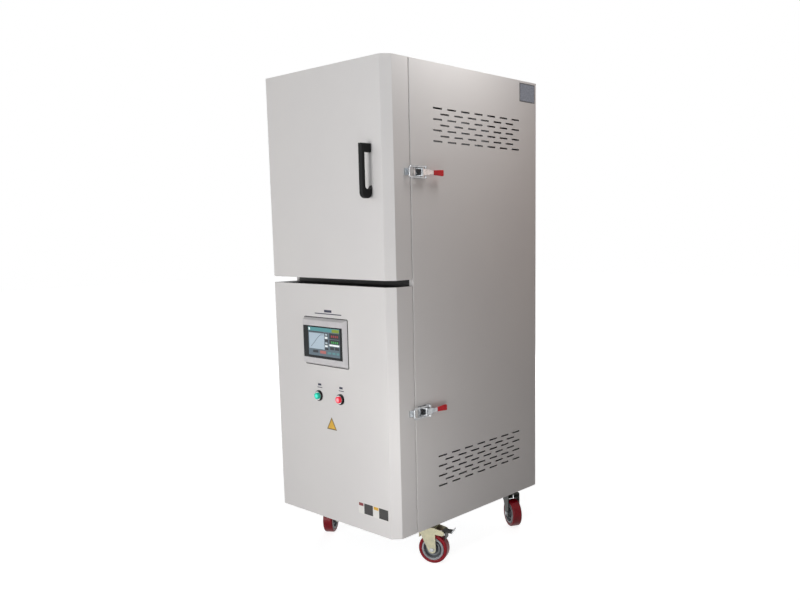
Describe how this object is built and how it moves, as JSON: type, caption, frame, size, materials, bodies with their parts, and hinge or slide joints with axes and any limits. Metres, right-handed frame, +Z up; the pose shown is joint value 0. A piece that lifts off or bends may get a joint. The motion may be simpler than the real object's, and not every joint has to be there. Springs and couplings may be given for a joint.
{
  "type": "muffle furnace",
  "caption": "Floor-standing muffle furnace: upright cabinet on swivel casters with a furnace door above a control door, toggle latches, side vents and an operator panel.",
  "frame": {"origin": "on the floor under the middle of the cabinet's width and depth", "axes": "+Z up, -Y out of the front, +X to the right of someone who faces the front"},
  "size_m": [0.6321, 0.791, 1.61],
  "materials": {
    "painted_steel": "fine textured powder coat, warm light grey",
    "dark_steel": "satin near-black powder coat",
    "galvanised_steel": "plain galvanised sheet",
    "ceramic_fibre": "white alumina fibre board",
    "dense_ceramic": "cast ceramic",
    "element_wire": "dark oxidised heating alloy",
    "stainless": "stainless steel",
    "zinc_plated": "bright zinc plating",
    "passivated_steel": "yellow-passivated zinc plating",
    "tread": "red polyurethane tread",
    "wheel_plastic": "grey moulded plastic",
    "black_plastic": "black moulded plastic",
    "panel_plastic": "silver-grey moulded plastic",
    "panel_glass": "dark display glass",
    "green_lens": "green translucent lens",
    "red_lens": "red translucent lens",
    "red_vinyl": "red dipped vinyl",
    "electrical_plastic": "grey moulded plastic",
    "aluminium": "plain extruded aluminium",
    "transformer_steel": "varnished core laminations and winding",
    "seal_rope": "woven glass seal"
  },
  "bodies": {
    "cabinet": {"base_pan": "galvanised_steel", "deck_panel": "galvanised_steel", "right_side_panel": "painted_steel", "left_side_panel": "painted_steel", "front_frame": "dark_steel", "rear_panel": "painted_steel", "top_cover": "painted_steel", "furnace_case": "galvanised_steel", "chamber_insulation": "ceramic_fibre", "rear_insulation": "ceramic_fibre", "muffle_mouth": "dense_ceramic", "hearth_plate": "dense_ceramic", "heating_elements": "element_wire", "thermocouple": "stainless", "exhaust_tube": "stainless", "component_plate": "galvanised_steel", "switchgear": "electrical_plastic", "power_regulator": "aluminium", "transformer": "transformer_steel", "cable_gland": "black_plastic", "hinge_brackets": "zinc_plated", "latch_bases": "zinc_plated", "caster_plates": "passivated_steel"},
    "upper_door": {"upper_door_shell": "painted_steel", "upper_door_pan": "dark_steel", "upper_door_insulation": "ceramic_fibre", "upper_door_plug": "dense_ceramic", "upper_door_seal": "seal_rope", "door_handle": "black_plastic", "upper_door_hinge_leaves": "zinc_plated", "upper_latch_keeper": "zinc_plated"},
    "lower_door": {"lower_door_shell": "painted_steel", "lower_door_pan": "dark_steel", "panel_housing": "panel_plastic", "panel_glass": "panel_glass", "button_collars": "black_plastic", "lower_door_hinge_leaves": "zinc_plated", "lower_latch_keeper": "zinc_plated"},
    "green_button": {"green_button_cap": "green_lens"},
    "red_button": {"red_button_cap": "red_lens"},
    "upper_lever": {"upper_latch_lever": "zinc_plated", "upper_latch_grip": "red_vinyl"},
    "upper_hook": {"upper_latch_hook": "zinc_plated"},
    "lower_lever": {"lower_latch_lever": "zinc_plated", "lower_latch_grip": "red_vinyl"},
    "lower_hook": {"lower_latch_hook": "zinc_plated"},
    "front_left_caster": {"front_left_fork": "passivated_steel"},
    "front_left_wheel": {"front_left_wheel_hub": "wheel_plastic", "front_left_tyre": "tread"},
    "front_left_brake": {"front_left_brake_pedal": "zinc_plated"},
    "front_right_caster": {"front_right_fork": "passivated_steel"},
    "front_right_wheel": {"front_right_wheel_hub": "wheel_plastic", "front_right_tyre": "tread"},
    "front_right_brake": {"front_right_brake_pedal": "zinc_plated"},
    "rear_left_caster": {"rear_left_fork": "passivated_steel"},
    "rear_left_wheel": {"rear_left_wheel_hub": "wheel_plastic", "rear_left_tyre": "tread"},
    "rear_right_caster": {"rear_right_fork": "passivated_steel"},
    "rear_right_wheel": {"rear_right_wheel_hub": "wheel_plastic", "rear_right_tyre": "tread"}
  },
  "joints": [
    {"name": "upper_door_hinge", "type": "hinge", "parent": "cabinet", "child": "upper_door", "pos_m": [-0.2895, -0.26925, 1.2505], "axis": [0, 0, -1], "range_deg": [0, 110]},
    {"name": "lower_door_hinge", "type": "hinge", "parent": "cabinet", "child": "lower_door", "pos_m": [-0.2895, -0.26925, 0.5205], "axis": [0, 0, -1], "range_deg": [0, 110]},
    {"name": "green_button_press", "type": "slide", "parent": "lower_door", "child": "green_button", "axis": [0, 1, 0], "range_m": [0, 0.003], "stiffness_N_per_m": 400},
    {"name": "red_button_press", "type": "slide", "parent": "lower_door", "child": "red_button", "axis": [0, 1, 0], "range_m": [0, 0.003], "stiffness_N_per_m": 400},
    {"name": "upper_lever_throw", "type": "hinge", "parent": "cabinet", "child": "upper_lever", "pos_m": [0.297, -0.236, 1.246], "axis": [0, 0, -1], "range_deg": [0, 110]},
    {"name": "upper_hook_swing", "type": "hinge", "parent": "upper_lever", "child": "upper_hook", "pos_m": [0.2948, -0.218, 1.246], "axis": [0, 0, -1], "range_deg": [-120, 5]},
    {"name": "lower_lever_throw", "type": "hinge", "parent": "cabinet", "child": "lower_lever", "pos_m": [0.297, -0.236, 0.519], "axis": [0, 0, -1], "range_deg": [0, 110]},
    {"name": "lower_hook_swing", "type": "hinge", "parent": "lower_lever", "child": "lower_hook", "pos_m": [0.2948, -0.218, 0.519], "axis": [0, 0, -1], "range_deg": [-120, 5]},
    {"name": "front_left_swivel", "type": "hinge", "parent": "cabinet", "child": "front_left_caster", "pos_m": [-0.2305, -0.184, 0.12], "axis": [0, 0, 1], "continuous": true},
    {"name": "front_left_wheel_spin", "type": "hinge", "parent": "front_left_caster", "child": "front_left_wheel", "pos_m": [-0.21261, -0.21053, 0.049], "axis": [0.829, 0.5592, 0], "continuous": true},
    {"name": "front_left_brake_press", "type": "hinge", "parent": "front_left_caster", "child": "front_left_brake", "pos_m": [-0.19359, -0.23872, 0.106], "axis": [0.829, 0.5592, 0], "range_deg": [0, 17]},
    {"name": "front_right_swivel", "type": "hinge", "parent": "cabinet", "child": "front_right_caster", "pos_m": [0.2305, -0.184, 0.12], "axis": [0, 0, 1], "continuous": true},
    {"name": "front_right_wheel_spin", "type": "hinge", "parent": "front_right_caster", "child": "front_right_wheel", "pos_m": [0.25996, -0.1715, 0.049], "axis": [-0.3907, 0.9205, 0], "continuous": true},
    {"name": "front_right_brake_press", "type": "hinge", "parent": "front_right_caster", "child": "front_right_brake", "pos_m": [0.29125, -0.15821, 0.106], "axis": [-0.3907, 0.9205, 0], "range_deg": [0, 17]},
    {"name": "rear_left_swivel", "type": "hinge", "parent": "cabinet", "child": "rear_left_caster", "pos_m": [-0.2305, 0.27, 0.12], "axis": [0, 0, 1], "continuous": true},
    {"name": "rear_left_wheel_spin", "type": "hinge", "parent": "rear_left_caster", "child": "rear_left_wheel", "pos_m": [-0.25501, 0.29057, 0.049], "axis": [-0.6428, -0.766, 0], "continuous": true},
    {"name": "rear_right_swivel", "type": "hinge", "parent": "cabinet", "child": "rear_right_caster", "pos_m": [0.2305, 0.27, 0.12], "axis": [0, 0, 1], "continuous": true},
    {"name": "rear_right_wheel_spin", "type": "hinge", "parent": "rear_right_caster", "child": "rear_right_wheel", "pos_m": [0.25821, 0.254, 0.049], "axis": [0.5, 0.866, 0], "continuous": true}
  ],
  "couplings": [
    {"joint": "upper_hook_swing", "follows": "upper_lever_throw", "ratio": -1},
    {"joint": "lower_hook_swing", "follows": "lower_lever_throw", "ratio": -1}
  ]
}
